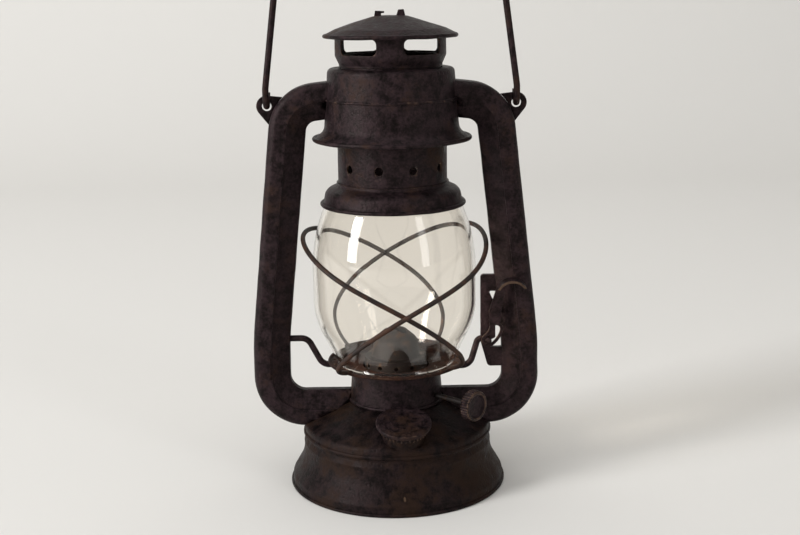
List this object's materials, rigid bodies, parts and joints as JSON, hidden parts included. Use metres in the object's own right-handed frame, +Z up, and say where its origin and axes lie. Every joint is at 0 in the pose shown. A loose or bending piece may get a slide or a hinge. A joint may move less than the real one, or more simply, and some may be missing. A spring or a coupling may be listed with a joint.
{
  "type": "oil lamp",
  "caption": "Tubular hurricane lantern: flared oil fount, pressed side tubes, glass globe on a lifting carriage with guard wires, vented chimney and wire bail.",
  "frame": {"origin": "middle of the base, on the surface that the lamp stands on", "axes": "+Z up, +X towards the side with the lift lever, the front looks along -Y"},
  "size_m": [0.146, 0.1116, 0.3424],
  "materials": {
    "fount_paint": "aged dark brown paint, worn",
    "frame_paint": "aged brown-black paint",
    "chimney_paint": "aged brown-black paint, sooty",
    "plate_paint": "rusty brown",
    "cap_paint": "aged dark paint, worn rim",
    "lever_steel": "browned steel, worn edges",
    "bail_steel": "browned wire",
    "guard_steel": "rusty wire",
    "spring_steel": "dull wire",
    "burner_brass": "dark tarnished brass",
    "glass": "clear blown glass",
    "wick_cotton": "woven cotton, charred at the top",
    "seal_rubber": "matte"
  },
  "bodies": {
    "frame": {"fount_skirt": "fount_paint", "fount_bottom": "fount_paint", "fount_dome": "fount_paint", "filler_neck": "burner_brass", "burner_collar": "burner_brass", "air_chamber": "frame_paint", "hood": "frame_paint", "right_tube_outer": "frame_paint", "right_tube_inner": "frame_paint", "left_tube_outer": "frame_paint", "left_tube_inner": "frame_paint", "right_ear": "frame_paint", "left_ear": "frame_paint", "lever_bracket": "frame_paint", "lever_pin": "lever_steel", "burner_cup": "burner_brass", "wick_tube": "burner_brass", "burner_cone": "burner_brass", "chimney_spring": "spring_steel"},
    "bail": {"bail_wire": "bail_steel"},
    "carriage": {"globe_plate": "plate_paint", "globe": "glass", "left_lift_wire": "guard_steel", "right_lift_wire": "guard_steel", "guard_wire_outer": "guard_steel", "guard_wire_inner": "guard_steel"},
    "lever": {"lift_lever": "lever_steel"},
    "chimney": {"globe_cap": "chimney_paint", "perforated_collar": "chimney_paint", "chimney_tube": "chimney_paint", "vent_roof": "chimney_paint", "vent_body": "chimney_paint", "ring_lugs": "chimney_paint"},
    "wick_drive": {"wick_shaft": "burner_brass", "wick_wheels": "burner_brass", "wick_knob": "lever_steel"},
    "wick": {"wick": "wick_cotton"},
    "cap_seal": {"cap_gasket": "seal_rubber"},
    "cap": {"filler_cap": "cap_paint"}
  },
  "joints": [
    {"name": "bail_swing", "type": "hinge", "parent": "frame", "child": "bail", "pos_m": [0, 0, 0.1988], "axis": [1, 0, 0], "range_deg": [-105, 105]},
    {"name": "globe_lift", "type": "slide", "parent": "frame", "child": "carriage", "axis": [0, 0, 1], "range_m": [0, 0.0065], "deforming": ["chimney_spring"]},
    {"name": "lever_turn", "type": "hinge", "parent": "frame", "child": "lever", "pos_m": [0.05055, 0, 0.0906], "axis": [0, 1, 0], "range_deg": [0, 26]},
    {"name": "chimney_lift", "type": "slide", "parent": "carriage", "child": "chimney", "axis": [0, 0, 1], "range_m": [0, 0.01], "stiffness_N_per_m": 200, "springref_m": -0.01, "deforming": ["chimney_spring"]},
    {"name": "knob_turn", "type": "hinge", "parent": "frame", "child": "wick_drive", "pos_m": [0.00306, 0.00316, 0.0484], "axis": [0.7193, -0.6947, 0], "range_deg": [-67.5, 101.2]},
    {"name": "wick_raise", "type": "slide", "parent": "frame", "child": "wick", "axis": [0, 0, 1], "range_m": [-0.006, 0.004]},
    {"name": "cap_lift", "type": "slide", "parent": "frame", "child": "cap_seal", "axis": [0.0226, -0.2578, 0.9659], "range_m": [0, 0.005]},
    {"name": "cap_turn", "type": "hinge", "parent": "cap_seal", "child": "cap", "pos_m": [0.00338, -0.0386, 0.03925], "axis": [0.0226, -0.2578, 0.9659], "range_deg": [0, 900]}
  ],
  "couplings": [
    {"joint": "lever_turn", "follows": "globe_lift", "rad_per_m": 69.812},
    {"joint": "knob_turn", "follows": "wick_raise", "rad_per_m": -294.12},
    {"joint": "cap_turn", "follows": "cap_lift", "rad_per_m": 3141.6}
  ]
}
